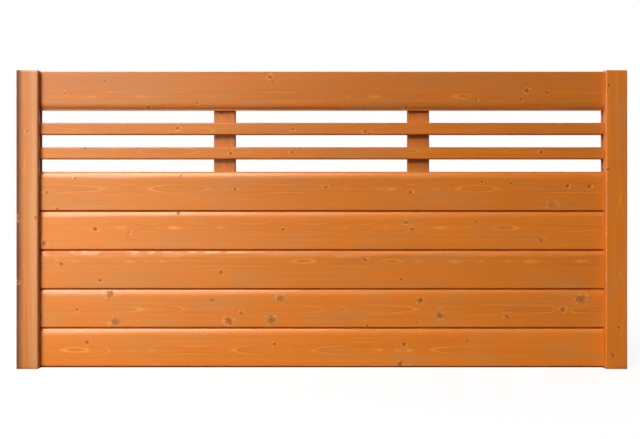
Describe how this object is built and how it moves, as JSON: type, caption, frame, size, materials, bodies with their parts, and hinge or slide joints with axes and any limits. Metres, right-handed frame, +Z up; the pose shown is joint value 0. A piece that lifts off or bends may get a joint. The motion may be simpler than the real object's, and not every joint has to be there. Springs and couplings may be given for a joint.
{
  "type": "garden privacy screen panel",
  "caption": "Low timber fence panel with tongued and grooved boards under open slats, held between two grooved stiles.",
  "frame": {"origin": "on the ground, in the middle of the panel's width and of its overall depth", "axes": "+X along the width to the right as seen from the face side, +Y from the face to the back, +Z up"},
  "size_m": [1.8, 0.0556, 0.88],
  "materials": {
    "board_timber": "planed softwood in a semi-gloss honey brown stain",
    "stile_timber": "planed softwood in a semi-gloss honey brown stain",
    "upright_timber": "planed softwood in a semi-gloss honey brown stain, a shade darker",
    "screw_steel": "plain zinc-coated steel"
  },
  "bodies": {
    "root": {"left_stile": "stile_timber", "right_stile": "stile_timber", "left_upright": "upright_timber", "right_upright": "upright_timber", "board_5": "board_timber", "board_4": "board_timber", "board_3": "board_timber", "board_2": "board_timber", "board_1": "board_timber", "lower_slat": "board_timber", "upper_slat": "board_timber", "top_board": "board_timber", "screw_left_stile_board_5": "screw_steel", "screw_left_stile_board_4": "screw_steel", "screw_left_stile_board_3": "screw_steel", "screw_left_stile_board_2": "screw_steel", "screw_left_stile_board_1": "screw_steel", "screw_left_stile_lower_slat": "screw_steel", "screw_left_stile_upper_slat": "screw_steel", "screw_left_stile_top_board": "screw_steel", "screw_left_upright_board_5": "screw_steel", "screw_left_upright_board_4": "screw_steel", "screw_left_upright_board_3": "screw_steel", "screw_left_upright_board_2": "screw_steel", "screw_left_upright_board_1": "screw_steel", "screw_left_upright_lower_slat": "screw_steel", "screw_left_upright_upper_slat": "screw_steel", "screw_left_upright_top_board": "screw_steel", "screw_right_upright_board_5": "screw_steel", "screw_right_upright_board_4": "screw_steel", "screw_right_upright_board_3": "screw_steel", "screw_right_upright_board_2": "screw_steel", "screw_right_upright_board_1": "screw_steel", "screw_right_upright_lower_slat": "screw_steel", "screw_right_upright_upper_slat": "screw_steel", "screw_right_upright_top_board": "screw_steel", "screw_right_stile_board_5": "screw_steel", "screw_right_stile_board_4": "screw_steel", "screw_right_stile_board_3": "screw_steel", "screw_right_stile_board_2": "screw_steel", "screw_right_stile_board_1": "screw_steel", "screw_right_stile_lower_slat": "screw_steel", "screw_right_stile_upper_slat": "screw_steel", "screw_right_stile_top_board": "screw_steel"}
  },
  "joints": []
}
